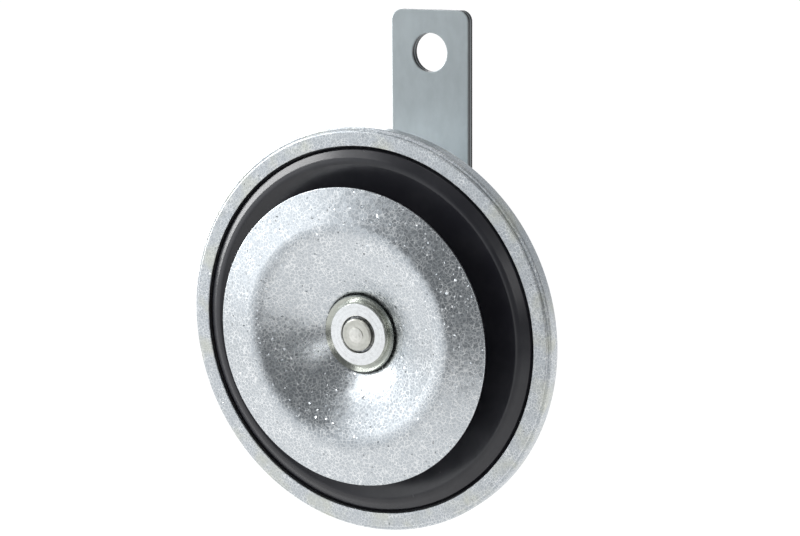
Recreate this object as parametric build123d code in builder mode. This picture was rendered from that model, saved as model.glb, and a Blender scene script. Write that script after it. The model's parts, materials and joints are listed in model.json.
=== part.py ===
from build123d import *
import os

# Electromagnetic disc horn on a two-leaf strip bracket. Millimetres.
# The front, with the tone disc, faces -Y. The strip rises along +Z.
# The origin is the centre of the strip's fixing hole, on the strip's rear face.
# Every round piece is drawn as (radius, depth): depth runs to the rear from the
# front face of the clamp ring.

os.makedirs("parts", exist_ok=True)

# ---------------------------------------------------------------- bracket strip
strip_width = 20.0
leaf_sheet = 1.15
fixing_hole_r = 4.5
fixing_hole_height = 59.7  # above the horn's axis
strip_above_hole = 9.8
strip_corner_r = 2.6
strip_edge_round = 0.45

# ---------------------------------------------------------------- clamped rim
ring_sheet = 1.0
ring_face_width = 4.12
ring_back_width = 3.2
ring_step_width = 0.75  # the step that the crimping tool leaves round the face
ring_step_depth = 0.6
ring_step_land = 0.5
ring_edge_round = 0.4
ring_lip_round = 0.25
ring_back_round = 0.9
gasket_sheet = 0.4
gasket_width = 2.6
rim_gap = 0.2  # between the clamped stack and the ring's wall

# ---------------------------------------------------------------- diaphragm
diaphragm_sheet = 0.4
diaphragm_centre_depth = 2.2
diaphragm_flat_r = 28.0
diaphragm_foot_gap = 0.38  # inside the clamp ring's lip
diaphragm_bead_width = 1.93
diaphragm_crest_depth = -0.93  # where the two flanks would meet; the bend rounds it
diaphragm_flat_bend = 10.0
diaphragm_crest_bend = 1.5
diaphragm_foot_bend = 0.7

# ---------------------------------------------------------------- tone disc and hub
disc_r = 33.5
disc_sheet = 1.0
disc_edge_depth = -6.25
disc_ridge_r = 23.55
disc_ridge_depth = -8.6  # where bowl and rim cone would meet; the bend rounds it
disc_ridge_bend = 8.0
disc_bowl_curve = 50.0
disc_seat_r = 7.9
disc_seat_depth = -0.9
disc_edge_round = 0.2
cup_washer_sheet = 0.5
cup_washer_flat_r = 7.15
cup_washer_rim_r = 8.5
cup_washer_rise = 0.75
collar_r = 7.0
collar_height = 1.0
collar_ledge = 0.35
collar_well_r = 4.2
collar_mouth_r = 4.6
collar_edge_round = 0.12
collar_mouth_round = 0.33
spacer_r = 8.0

# ---------------------------------------------------------------- armature
shank_r = 3.0
shank_gap = 0.05
peened_head_r = 3.4
peened_head_proud = 0.8  # in front of the collar's face
peened_head_bevel = 0.3
pip_r = 1.75
pip_height = 0.15
pip_round = 0.07
armature_gap = 0.6  # inside the coil's bobbin
armature_shoulder = 3.5
armature_flange = 2.2
armature_bevel = 0.5
air_gap = 0.8
pusher_sheet = 0.8
pusher_gap = 0.15

# ---------------------------------------------------------------- contact breaker
contact_height = 0.4
contact_r = 1.6
contact_shank_r = 0.8
contact_beyond_armature = 5.0
arm_sheet = 0.4
arm_tip_overlap = 2.6  # over the fibre washer
arm_tongue_width = 6.0
fixed_plate_sheet = 0.8
fixed_plate_tip = 2.9  # past the contacts, towards the armature
insulator_sheet = 0.8
base_sheet = 1.2
base_tongue = 3.7  # inside the insulators, over the adjusting screw
base_margin = 1.6
base_width = 16.0
stack_length = 8.0
stack_width = 14.0
stack_rivet_spread = 4.5
base_rivet_step = 3.9  # from the insulators to the base's rivets
base_rivet_spread = 5.0
rivet_r = 1.25
rivet_gap = 0.05
live_gap = 0.6  # between a rivet and a live sheet
rivet_head_r = 2.1
rivet_head = 0.6

# ---------------------------------------------------------------- housing
housing_sheet = 1.0
flange_width = 5.2
pan_margin = 3.4  # outside the breaker's base
ledge_width = 8.8
cup_draft = 1.4
cup_depth = 26.0  # from the flange's face to the floor
flange_bend = 2.0
pan_bend = 1.6
ledge_bend = 2.2
floor_bend = 3.0

# ---------------------------------------------------------------- magnet
core_r = 8.4
core_length = 15.2
bobbin_gap = 0.2
bobbin_wall = 0.9
bobbin_flange_r = 17.0
bobbin_flange = 1.0
bobbin_length = 19.2
coil_margin = 0.8  # inside the bobbin's flanges
coil_gap = 0.1

# ---------------------------------------------------------------- rear fixings
stud_r = 4.0
stud_gap = 0.2
stud_beyond_nut = 5.0
thread_pitch = 1.25
thread_depth = 0.7
bracket_spacer_r = 10.0
bracket_spacer = 2.5
lock_washer_r = 6.6
lock_washer_sheet = 2.0
lock_washer_slit = 1.4
lock_washer_slit_turn = 20.0  # degrees across the radius
nut_flats = 13.0
nut_height = 6.5
nut_gap = 0.05
nut_bevel = 0.7

# ---------------------------------------------------------------- adjusting screw
screw_inside_stack = 1.0
bush_gap = 0.5  # outside the bobbin's flange
screw_r = 2.0
screw_gap = 0.05
screw_slot = 0.8
screw_slot_depth = 1.2
screw_bevel = 0.27
screw_beyond_nut = 2.2
bush_r = 3.0
bush_flange_r = 4.0
bush_flange = 1.2
bush_proud = 0.8
locknut_flats = 7.0
locknut_height = 3.2

# ---------------------------------------------------------------- terminals
terminal_spread = 10.5
terminal_plate_width = 18.4
terminal_plate_height = 9.6
terminal_plate_sheet = 1.6
terminal_plate_corner = 1.2
inner_plate_sheet = 1.0
inner_plate_width = 17.0
inner_plate_height = 6.4
inner_plate_corner = 0.8
inner_plate_gap = 0.2  # below the coil's bobbin
blade_width = 6.3
blade_sheet = 0.8
blade_length = 9.5
blade_bevel = 1.2
blade_hole_r = 0.85
blade_hole_step = 3.2  # from the blade's tip
terminal_foot = 7.6
terminal_rivet_r = 1.2
terminal_rivet_clear = 1.0  # round the rivet where it passes the steel floor

# ---------------------------------------------------------------- suppressor
can_gap = 2.5  # outside the bobbin's flange
can_r = 2.9
can_length = 14.0
can_groove = 0.3

# ---------------------------------------------------------------- depths of the stack
front_gasket_depth = ring_sheet
diaphragm_rim_depth = front_gasket_depth + gasket_sheet
rear_gasket_depth = diaphragm_rim_depth + diaphragm_sheet
flange_depth = rear_gasket_depth + gasket_sheet
ring_depth = flange_depth + housing_sheet + ring_sheet

diaphragm_back = diaphragm_centre_depth + diaphragm_sheet
disc_hub_back = disc_seat_depth + disc_sheet
collar_back = disc_seat_depth - cup_washer_sheet
collar_front = collar_back - collar_height
peened_front = collar_front - peened_head_proud
bore_r = shank_r + shank_gap

flange_back = diaphragm_back + armature_flange
pusher_back = flange_back + pusher_sheet
arm_depth = pusher_back + pusher_gap
arm_back = arm_depth + arm_sheet
fixed_plate_back = arm_depth - 2 * contact_height
fixed_plate_depth = fixed_plate_back - fixed_plate_sheet
base_depth = arm_back + insulator_sheet
base_back = base_depth + base_sheet
ledge_depth = base_back

floor_depth = flange_depth + cup_depth
floor_back = floor_depth + housing_sheet
core_depth = floor_depth - core_length
armature_back = core_depth - air_gap
bobbin_bore_r = core_r + bobbin_gap
bobbin_tube_r = bobbin_bore_r + bobbin_wall
bobbin_depth = floor_depth - bobbin_length
terminal_place = bobbin_flange_r + inner_plate_gap + inner_plate_height / 2

strip_depth = floor_back + bracket_spacer
strip_back = strip_depth + 2 * leaf_sheet
nut_depth = strip_back + lock_washer_sheet
nut_back = nut_depth + nut_height
stud_end = nut_back + stud_beyond_nut

# ---------------------------------------------------------------- radii and places, from the core outwards
armature_r = bobbin_bore_r - armature_gap
armature_flange_r = armature_r + armature_shoulder
contact_place = armature_flange_r + contact_beyond_armature
arm_tip_place = armature_flange_r - arm_tip_overlap
fixed_plate_tip_place = contact_place - fixed_plate_tip
screw_place = bobbin_flange_r + bush_gap + bush_flange_r
stack_inner_place = screw_place + screw_inside_stack
stack_outer_place = stack_inner_place + stack_length
stack_rivet_place = stack_inner_place + stack_length / 2
can_place = bobbin_flange_r + can_gap + can_r
coil_r = bobbin_flange_r - coil_margin
base_inner_place = stack_inner_place - base_tongue
base_rivet_place = stack_outer_place + base_rivet_step
base_outer_place = base_rivet_place + base_margin

pan_r = base_outer_place + pan_margin
cup_mouth_r = pan_r - ledge_width
cup_floor_r = cup_mouth_r - cup_draft
stack_r = pan_r + flange_width
gasket_inner_r = stack_r - gasket_width
ring_outer_r = stack_r + rim_gap + ring_sheet
ring_lip_r = ring_outer_r - ring_face_width
ring_back_lip_r = ring_outer_r - ring_back_width
ring_step_r = ring_outer_r - ring_step_width
diaphragm_foot_r = ring_lip_r - diaphragm_foot_gap
diaphragm_crest_r = diaphragm_foot_r - diaphragm_bead_width

# ---------------------------------------------------------------- planes and axes
axis_height = -fixing_hole_height


def y_at(depth):
    """The Y coordinate of a depth behind the clamp ring's front face."""
    return depth - strip_back


# (radius, depth) half-plane through the horn's axis
SECTION = Plane(origin=(0, y_at(0), axis_height), x_dir=(0, 0, 1), z_dir=(-1, 0, 0))
HORN_AXIS = Axis((0, 0, axis_height), (0, 1, 0))


def face_plane(depth):
    """A plane square to the horn's axis at a depth: X across, Y up, extruded to the rear by a minus sign."""
    return Plane(origin=(0, y_at(depth), axis_height), x_dir=(1, 0, 0), z_dir=(0, -1, 0))


def spun(outline, rounds=()):
    """A solid of revolution. outline is a closed run of (radius, depth) points.
    rounds pairs a corner of the outline with its radius."""
    with BuildPart() as part:
        with BuildSketch(SECTION) as profile:
            with BuildLine():
                Polyline(*outline, close=True)
            make_face()
            for corner, radius in rounds:
                fillet(profile.vertices().sort_by_distance(corner)[0], radius)
        revolve(axis=HORN_AXIS)
    return part


def spun_sheet(points, bends, sheet):
    """A pressed round sheet. points run along its front face from the axis outwards, with a bend
    radius for each inner point, and the sheet's thickness lies behind them."""
    with BuildPart() as part:
        with BuildSketch(SECTION):
            with BuildLine():
                FilletPolyline(*points, radius=bends)
                offset(amount=sheet, side=Side.LEFT)
            make_face()
        revolve(axis=HORN_AXIS)
    return part


def washer(inner_r, outer_r, depth, thickness):
    """A flat ring whose front face lies at a depth."""
    with BuildPart() as part:
        with BuildSketch(face_plane(depth)):
            Circle(outer_r)
            Circle(inner_r, mode=Mode.SUBTRACT)
        extrude(amount=-thickness)
    return part


def write(name, part):
    """Labels a finished piece and writes its STEP file."""
    part.part.label = name
    export_step(part.part, f"parts/{name}.step")


# ================================================================ clamped rim
# One ring of sheet steel, crimped round the stack from front to back.
clamp_ring = spun(
    [
        (ring_lip_r, ring_sheet),
        (ring_lip_r, 0),
        (ring_step_r, 0),
        (ring_step_r, ring_step_depth),
        (ring_outer_r, ring_step_land),
        (ring_outer_r, ring_depth),
        (ring_back_lip_r, ring_depth),
        (ring_back_lip_r, ring_depth - ring_sheet),
        (ring_outer_r - ring_sheet, ring_depth - ring_sheet),
        (ring_outer_r - ring_sheet, ring_sheet),
    ],
    [
        ((ring_lip_r, 0), ring_lip_round),
        ((ring_step_r, 0), ring_edge_round),
        ((ring_outer_r, ring_step_land), ring_edge_round),
        ((ring_outer_r, ring_depth), ring_back_round),
    ],
)
write("clamp_ring", clamp_ring)

front_gasket = washer(gasket_inner_r, stack_r, front_gasket_depth, gasket_sheet)
write("front_gasket", front_gasket)

rear_gasket = washer(gasket_inner_r, stack_r, rear_gasket_depth, gasket_sheet)
write("rear_gasket", rear_gasket)

# Pressed diaphragm: flat clamped margin, rounded bead, long slope to a flat centre.
diaphragm = spun_sheet(
    [
        (bore_r, diaphragm_centre_depth),
        (diaphragm_flat_r, diaphragm_centre_depth),
        (diaphragm_crest_r, diaphragm_crest_depth),
        (diaphragm_foot_r, diaphragm_rim_depth),
        (stack_r, diaphragm_rim_depth),
    ],
    [diaphragm_flat_bend, diaphragm_crest_bend, diaphragm_foot_bend],
    diaphragm_sheet,
)
write("diaphragm", diaphragm)

# ================================================================ sounding stack
# Tone disc: flat seat, hollow bowl, rounded ridge and a rim cone that falls back.
with BuildPart() as tone_disc:
    with BuildSketch(SECTION) as disc_profile:
        with BuildLine() as disc_front:
            seat = Line((bore_r, disc_seat_depth), (disc_seat_r, disc_seat_depth))
            bowl = RadiusArc(seat @ 1, (disc_ridge_r, disc_ridge_depth), disc_bowl_curve)
            Line(bowl @ 1, (disc_r, disc_edge_depth))
            fillet(disc_front.vertices().sort_by_distance(bowl @ 1)[0], disc_ridge_bend)
            offset(amount=disc_sheet, side=Side.LEFT)
        make_face()
        fillet(disc_profile.vertices().sort_by(Axis.X)[-2:], disc_edge_round)
    revolve(axis=HORN_AXIS)
write("tone_disc", tone_disc)

# Dished washer between collar and disc; its rim stands up round the collar.
cup_washer = spun_sheet(
    [
        (bore_r, collar_back),
        (cup_washer_flat_r, collar_back),
        (cup_washer_rim_r, collar_back - cup_washer_rise),
    ],
    [cup_washer_sheet],
    cup_washer_sheet,
)
write("cup_washer", cup_washer)

# Turned collar: the peened head sits in its well.
hub_collar = spun(
    [
        (bore_r, collar_back),
        (bore_r, collar_back - collar_ledge),
        (collar_well_r, collar_back - collar_ledge),
        (collar_mouth_r, collar_front),
        (collar_r, collar_front),
        (collar_r, collar_back),
    ],
    [
        ((collar_mouth_r, collar_front), collar_mouth_round),
        ((collar_r, collar_front), collar_edge_round),
    ],
)
write("hub_collar", hub_collar)

disc_spacer = washer(bore_r, spacer_r, disc_hub_back, diaphragm_centre_depth - disc_hub_back)
write("disc_spacer", disc_spacer)

# Armature: one turned piece, from the peened head in front to the pole face behind.
armature = spun(
    [
        (0, peened_front - pip_height),
        (pip_r, peened_front - pip_height),
        (pip_r, peened_front),
        (peened_head_r - peened_head_bevel, peened_front),
        (peened_head_r, peened_front + peened_head_bevel),
        (peened_head_r, collar_back - collar_ledge),
        (shank_r, collar_back - collar_ledge),
        (shank_r, diaphragm_back),
        (armature_flange_r, diaphragm_back),
        (armature_flange_r, flange_back),
        (armature_r, flange_back),
        (armature_r, armature_back - armature_bevel),
        (armature_r - armature_bevel, armature_back),
        (0, armature_back),
    ],
    [
        ((pip_r, peened_front - pip_height), pip_round),
    ],
)
write("armature", armature)

# Fibre washer on the armature's shoulder: it pushes the contact arm open.
pusher_washer = washer(armature_r + shank_gap, armature_flange_r, flange_back, pusher_sheet)
write("pusher_washer", pusher_washer)

# ================================================================ housing
# Deep-drawn housing: rim flange, shallow pan, ledge for the breaker, cup for the coil.
with BuildPart() as housing:
    with BuildSketch(SECTION):
        with BuildLine():
            FilletPolyline(
                (stud_r + stud_gap, floor_depth),
                (cup_floor_r, floor_depth),
                (cup_mouth_r, ledge_depth),
                (pan_r, ledge_depth),
                (pan_r, flange_depth),
                (stack_r, flange_depth),
                radius=[floor_bend, ledge_bend, pan_bend, flange_bend],
            )
            offset(amount=housing_sheet, side=Side.LEFT)
        make_face()
    revolve(axis=HORN_AXIS)
    with BuildSketch(face_plane(flange_depth)):
        with Locations((screw_place, 0)):
            Circle(bush_r)
        with Locations((0, -terminal_place)):
            with GridLocations(terminal_spread, 0, 2, 1):
                Circle(terminal_rivet_r + terminal_rivet_clear)
        with Locations((base_rivet_place, 0)):
            with GridLocations(0, 2 * base_rivet_spread, 1, 2):
                Circle(rivet_r + rivet_gap)
    extrude(amount=-2 * cup_depth, mode=Mode.SUBTRACT)
write("housing", housing)

# ================================================================ magnet
with BuildPart() as core_stud:
    thread_grooves = int(stud_beyond_nut / thread_pitch)
    with BuildSketch(SECTION):
        with BuildLine():
            thread = []
            for groove in range(thread_grooves):
                end = stud_end - thread_pitch * (thread_grooves - groove)
                thread.append((stud_r, end))
                thread.append((stud_r - thread_depth, end + thread_pitch / 2))
            Polyline(
                (0, core_depth),
                (core_r, core_depth),
                (core_r, floor_depth),
                (stud_r, floor_depth),
                *thread,
                (stud_r - thread_depth / 2, stud_end),
                (0, stud_end),
                close=True,
            )
        make_face()
    revolve(axis=HORN_AXIS)
write("core_stud", core_stud)

coil_bobbin = spun(
    [
        (bobbin_bore_r, bobbin_depth),
        (bobbin_flange_r, bobbin_depth),
        (bobbin_flange_r, bobbin_depth + bobbin_flange),
        (bobbin_tube_r, bobbin_depth + bobbin_flange),
        (bobbin_tube_r, floor_depth - bobbin_flange),
        (bobbin_flange_r, floor_depth - bobbin_flange),
        (bobbin_flange_r, floor_depth),
        (bobbin_bore_r, floor_depth),
    ],
)
write("coil_bobbin", coil_bobbin)

coil_winding = washer(
    bobbin_tube_r + coil_gap,
    coil_r,
    bobbin_depth + bobbin_flange + coil_gap,
    bobbin_length - 2 * bobbin_flange - 2 * coil_gap,
)
write("coil_winding", coil_winding)


# ================================================================ contact breaker
# The breaker stands on the housing's ledge to the +X side of the armature.
def plate(depth, thickness, inner, outer, width, holes):
    """A flat plate from inner to outer along X, with holes given as (place, spread, radius)."""
    with BuildPart() as part:
        with BuildSketch(face_plane(depth)):
            with Locations(((inner + outer) / 2, 0)):
                Rectangle(outer - inner, width)
            for place, spread, radius in holes:
                with Locations((place, 0)):
                    with GridLocations(0, 2 * spread, 1, 2):
                        Circle(radius, mode=Mode.SUBTRACT)
        extrude(amount=-thickness)
    return part


def contact_sheet(depth, thickness, tip):
    """A live sheet of the breaker: a foot between the insulators, a tongue to its tip,
    a hole for the contact's shank and wide holes round the rivets."""
    with BuildPart() as part:
        with BuildSketch(face_plane(depth)):
            with Locations(((stack_inner_place + stack_outer_place) / 2, 0)):
                Rectangle(stack_outer_place - stack_inner_place, stack_width)
            with Locations(((tip + stack_inner_place) / 2, 0)):
                Rectangle(stack_inner_place - tip, arm_tongue_width)
            with Locations((contact_place, 0)):
                Circle(contact_shank_r + rivet_gap, mode=Mode.SUBTRACT)
            with Locations((stack_rivet_place, 0)):
                with GridLocations(0, 2 * stack_rivet_spread, 1, 2):
                    Circle(rivet_r + live_gap, mode=Mode.SUBTRACT)
        extrude(amount=-thickness)
    return part


def contact(face, shank_end):
    """A contact button whose mating face lies at one depth and whose shank ends at another."""
    side = 1 if shank_end > face else -1
    with BuildPart() as part:
        with BuildSketch(face_plane(face)):
            with Locations((contact_place, 0)):
                Circle(contact_r)
        extrude(amount=-side * contact_height)
        with BuildSketch(face_plane(face)):
            with Locations((contact_place, 0)):
                Circle(contact_shank_r)
        extrude(amount=face - shank_end)
    return part


def rivets(places, shank_radius, head_depth, grip_depth, grip_back, tail_depth):
    """Solid rivets at (x, z) places: a head in front of the grip and a peened tail behind it."""
    with BuildPart() as part:
        for depth, end, radius in (
            (head_depth, grip_depth, rivet_head_r),
            (grip_depth, grip_back, shank_radius),
            (grip_back, tail_depth, rivet_head_r),
        ):
            with BuildSketch(face_plane(depth)):
                with Locations(*places):
                    Circle(radius)
            extrude(amount=depth - end)
    return part


stack_holes = (stack_rivet_place, stack_rivet_spread, rivet_r + rivet_gap)
base_holes = (base_rivet_place, base_rivet_spread, rivet_r + rivet_gap)

breaker_base = plate(
    base_depth, base_sheet, base_inner_place, base_outer_place, base_width, [stack_holes, base_holes]
)
write("breaker_base", breaker_base)

rear_insulator = plate(
    arm_back, insulator_sheet, stack_inner_place, stack_outer_place, stack_width, [stack_holes]
)
write("rear_insulator", rear_insulator)

contact_arm = contact_sheet(arm_depth, arm_sheet, arm_tip_place)
write("contact_arm", contact_arm)

front_insulator = plate(
    fixed_plate_back, 2 * contact_height, stack_inner_place, stack_outer_place, stack_width, [stack_holes]
)
write("front_insulator", front_insulator)

fixed_plate = contact_sheet(fixed_plate_depth, fixed_plate_sheet, fixed_plate_tip_place)
write("fixed_contact_plate", fixed_plate)

fixed_contact = contact(fixed_plate_back + contact_height, fixed_plate_depth)
write("fixed_contact", fixed_contact)

moving_contact = contact(arm_depth - contact_height, arm_back)
write("moving_contact", moving_contact)

stack_places = [(stack_rivet_place, side * stack_rivet_spread) for side in (-1, 1)]
breaker_rivets = rivets(
    stack_places,
    rivet_r,
    fixed_plate_depth - rivet_head,
    fixed_plate_depth,
    base_back,
    base_back + rivet_head,
)
write("breaker_rivets", breaker_rivets)

base_places = [(base_rivet_place, side * base_rivet_spread) for side in (-1, 1)]
base_rivets = rivets(
    base_places,
    rivet_r,
    base_depth - rivet_head,
    base_depth,
    ledge_depth + housing_sheet,
    ledge_depth + housing_sheet + rivet_head,
)
write("base_rivets", base_rivets)

# ================================================================ adjusting screw
# A threaded bush clinched in the floor carries the screw that tilts the breaker's base.
with BuildPart() as screw_bush:
    for depth, end, radius in (
        (floor_depth - bush_flange, floor_depth, bush_flange_r),
        (floor_depth, floor_back + bush_proud, bush_r),
    ):
        with BuildSketch(face_plane(depth)):
            with Locations((screw_place, 0)):
                Circle(radius)
                Circle(screw_r + screw_gap, mode=Mode.SUBTRACT)
        extrude(amount=depth - end)
write("screw_bush", screw_bush)


def hex_nut(flats, height, bore, bevel, depth, place):
    """A hexagon nut on an axis at X = place, bevelled at the rear."""
    with BuildPart() as part:
        with BuildSketch(face_plane(depth)):
            with Locations((place, 0)):
                RegularPolygon(flats / 2, 6, major_radius=False)
                Circle(bore, mode=Mode.SUBTRACT)
        extrude(amount=-height)
        with BuildSketch(face_plane(depth)):
            with Locations((place, 0)):
                Circle(flats / 2 + bevel)
        extrude(amount=-height, mode=Mode.INTERSECT)
        rear = part.faces().sort_by(Axis.Y)[-1]
        chamfer(rear.outer_wire().edges(), bevel / 2)
    return part


locknut_depth = floor_back + bush_proud
locknut_back = locknut_depth + locknut_height
adjusting_locknut = hex_nut(
    locknut_flats, locknut_height, screw_r + screw_gap, nut_bevel / 2, locknut_depth, screw_place
)
write("adjusting_locknut", adjusting_locknut)

with BuildPart() as adjusting_screw:
    screw_end = locknut_back + screw_beyond_nut
    with BuildSketch(face_plane(base_back)):
        with Locations((screw_place, 0)):
            Circle(screw_r)
    extrude(amount=base_back - screw_end)
    chamfer(adjusting_screw.edges().filter_by(GeomType.CIRCLE), screw_bevel)
    with BuildSketch(face_plane(screw_end)):
        with Locations((screw_place, 0)):
            Rectangle(screw_slot, 2 * screw_r)
    extrude(amount=screw_slot_depth, mode=Mode.SUBTRACT)
write("adjusting_screw", adjusting_screw)


# ================================================================ terminals
def terminal_board(depth, thickness, width, height, corner):
    """An insulating plate under both terminals, with a hole for each rivet."""
    with BuildPart() as part:
        with BuildSketch(face_plane(depth)):
            with Locations((0, -terminal_place)):
                RectangleRounded(width, height, corner)
                with GridLocations(terminal_spread, 0, 2, 1):
                    Circle(terminal_rivet_r + rivet_gap, mode=Mode.SUBTRACT)
        extrude(amount=-thickness)
    return part


terminal_plate = terminal_board(
    floor_back, terminal_plate_sheet, terminal_plate_width, terminal_plate_height, terminal_plate_corner
)
write("terminal_plate", terminal_plate)

inner_terminal_plate = terminal_board(
    floor_depth - inner_plate_sheet,
    inner_plate_sheet,
    inner_plate_width,
    inner_plate_height,
    inner_plate_corner,
)
write("inner_terminal_plate", inner_terminal_plate)

terminal_depth = floor_back + terminal_plate_sheet
blade_place = terminal_place + terminal_foot / 2 - blade_sheet / 2


def terminal(side):
    """A blade terminal bent from one strip: a riveted foot and a blade that points to the rear."""
    with BuildPart() as part:
        with BuildSketch(face_plane(terminal_depth)):
            with Locations((side * terminal_spread / 2, -terminal_place)):
                Rectangle(blade_width, terminal_foot)
                Circle(terminal_rivet_r + rivet_gap, mode=Mode.SUBTRACT)
        extrude(amount=-blade_sheet)
        with BuildSketch(face_plane(terminal_depth)):
            with Locations((side * terminal_spread / 2, -blade_place)):
                Rectangle(blade_width, blade_sheet)
        extrude(amount=-blade_length)
        tip = part.faces().sort_by(Axis.Y)[-1]
        chamfer(tip.edges().filter_by(Axis.Z), blade_bevel)
        hole_depth = terminal_depth + blade_length - blade_hole_step
        hole_centre = (side * terminal_spread / 2, y_at(hole_depth), axis_height - blade_place)
        with BuildSketch(Plane(origin=hole_centre, z_dir=(0, 0, 1))):
            Circle(blade_hole_r)
        extrude(amount=blade_sheet, both=True, mode=Mode.SUBTRACT)
    return part


left_terminal = terminal(-1)
write("left_terminal", left_terminal)
right_terminal = terminal(1)
write("right_terminal", right_terminal)

terminal_places = [(side * terminal_spread / 2, -terminal_place) for side in (-1, 1)]
terminal_rivets = rivets(
    terminal_places,
    terminal_rivet_r,
    floor_depth - inner_plate_sheet - rivet_head,
    floor_depth - inner_plate_sheet,
    terminal_depth + blade_sheet,
    terminal_depth + blade_sheet + rivet_head,
)
write("terminal_rivets", terminal_rivets)

# Suppressor: a small rolled can that stands on the floor opposite the screw.
with BuildPart() as suppressor:
    with BuildSketch(face_plane(floor_depth - can_length)):
        with Locations((-can_place, 0)):
            Circle(can_r)
    extrude(amount=-can_length)
    chamfer(suppressor.faces().sort_by(Axis.Y)[0].edges(), can_groove)
write("suppressor", suppressor)

# ================================================================ bracket
bracket_spacer_ring = washer(stud_r + stud_gap, bracket_spacer_r, floor_back, bracket_spacer)
write("bracket_spacer", bracket_spacer_ring)


def leaf(depth):
    """One leaf of the strip: round below the stud, square with rounded corners above the hole."""
    top = fixing_hole_height + strip_above_hole
    with BuildPart() as part:
        with BuildSketch(face_plane(depth)) as outline:
            with Locations((0, top / 2)):
                Rectangle(strip_width, top)
            fillet(outline.vertices().group_by(Axis.Y)[-1], strip_corner_r)
            Circle(strip_width / 2)
            Circle(stud_r + stud_gap, mode=Mode.SUBTRACT)
            with Locations((0, fixing_hole_height)):
                Circle(fixing_hole_r, mode=Mode.SUBTRACT)
        extrude(amount=-leaf_sheet)
        for face in (part.faces().sort_by(Axis.Y)[0], part.faces().sort_by(Axis.Y)[-1]):
            fillet(face.outer_wire().edges(), strip_edge_round)
    return part


front_leaf = leaf(strip_depth)
write("front_leaf", front_leaf)
rear_leaf = leaf(strip_depth + leaf_sheet)
write("rear_leaf", rear_leaf)

# ================================================================ rear fixings
with BuildPart() as lock_washer:
    with BuildSketch(face_plane(strip_back)):
        Circle(lock_washer_r)
        Circle(stud_r + stud_gap, mode=Mode.SUBTRACT)
        with Locations((lock_washer_r, 0)):
            Rectangle(
                2 * (lock_washer_r - stud_r),
                lock_washer_slit,
                rotation=lock_washer_slit_turn,
                mode=Mode.SUBTRACT,
            )
    extrude(amount=-lock_washer_sheet)
write("lock_washer", lock_washer)

bracket_nut = hex_nut(nut_flats, nut_height, stud_r + nut_gap, nut_bevel, nut_depth, 0)
write("bracket_nut", bracket_nut)
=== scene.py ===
import json
import math

import bmesh
import bpy
from bpy.props import FloatProperty, FloatVectorProperty, IntProperty, PointerProperty
from mathutils import Matrix, Quaternion, Vector


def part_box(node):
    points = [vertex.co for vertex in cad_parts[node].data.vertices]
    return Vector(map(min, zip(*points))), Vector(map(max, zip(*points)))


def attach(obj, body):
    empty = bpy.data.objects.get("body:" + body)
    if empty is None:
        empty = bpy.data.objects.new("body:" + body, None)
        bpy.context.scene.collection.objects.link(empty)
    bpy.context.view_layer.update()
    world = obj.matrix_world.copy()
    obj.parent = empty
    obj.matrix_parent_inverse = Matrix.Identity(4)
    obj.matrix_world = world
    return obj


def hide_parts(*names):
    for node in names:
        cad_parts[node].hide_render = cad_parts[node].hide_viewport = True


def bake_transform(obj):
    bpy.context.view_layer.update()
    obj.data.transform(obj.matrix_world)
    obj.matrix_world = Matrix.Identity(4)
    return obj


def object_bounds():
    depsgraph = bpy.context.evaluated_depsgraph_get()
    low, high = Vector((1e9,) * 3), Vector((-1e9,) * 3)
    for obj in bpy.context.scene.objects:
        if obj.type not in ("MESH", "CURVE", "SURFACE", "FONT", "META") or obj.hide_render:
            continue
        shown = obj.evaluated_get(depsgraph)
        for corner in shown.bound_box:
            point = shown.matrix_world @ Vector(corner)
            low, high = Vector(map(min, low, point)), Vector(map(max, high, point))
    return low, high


bl_info = {
    "name": "Disc Horn Builder",
    "version": (1, 0, 0),
    "blender": (4, 5, 0),
    "location": "View3D > Sidebar > Disc Horn",
    "description": "Models and finishes an electromagnetic disc horn round its packed frame",
    "category": "Object",
}

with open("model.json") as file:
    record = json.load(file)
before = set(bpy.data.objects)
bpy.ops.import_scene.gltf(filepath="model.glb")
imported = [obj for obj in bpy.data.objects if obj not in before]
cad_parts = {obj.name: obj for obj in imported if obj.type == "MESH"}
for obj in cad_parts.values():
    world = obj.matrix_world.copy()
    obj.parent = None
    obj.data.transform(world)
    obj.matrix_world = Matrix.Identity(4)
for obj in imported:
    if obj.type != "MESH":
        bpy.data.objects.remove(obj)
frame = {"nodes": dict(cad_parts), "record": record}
CAD_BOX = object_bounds()

MM = 0.001

# ------------------------------------------------------------------ places read from the frame
RING_LOW, RING_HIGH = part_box("clamp_ring")
RING_FRONT = RING_LOW.y
RING_BACK = RING_HIGH.y
RING_R = (RING_HIGH.z - RING_LOW.z) / 2
AXIS_HEIGHT = (RING_HIGH.z + RING_LOW.z) / 2
AXIS_POINT = Vector((0, 0, AXIS_HEIGHT))
DISC_LOW, DISC_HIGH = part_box("tone_disc")
DISC_R = (DISC_HIGH.z - DISC_LOW.z) / 2
STACK_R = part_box("diaphragm")[1].z - AXIS_HEIGHT


def depth_of(y):
    """Depth behind the clamp ring's front face of a Y coordinate."""
    return y - RING_FRONT


def section(radius, depth):
    """A point of the half section that lies straight above the horn's axis."""
    return Vector((0, RING_FRONT + depth, AXIS_HEIGHT + radius))


# ------------------------------------------------------------------ modelling helpers
def deselect():
    """Leaves nothing selected, so that the next operator acts on its own piece alone."""
    if bpy.context.object and bpy.context.object.mode != "OBJECT":
        bpy.ops.object.mode_set(mode="OBJECT")
    bpy.ops.object.select_all(action="DESELECT")


def edit_mesh():
    """The mesh under the editor, for choosing its vertices, edges and faces."""
    return bmesh.from_edit_mesh(bpy.context.object.data)


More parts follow.
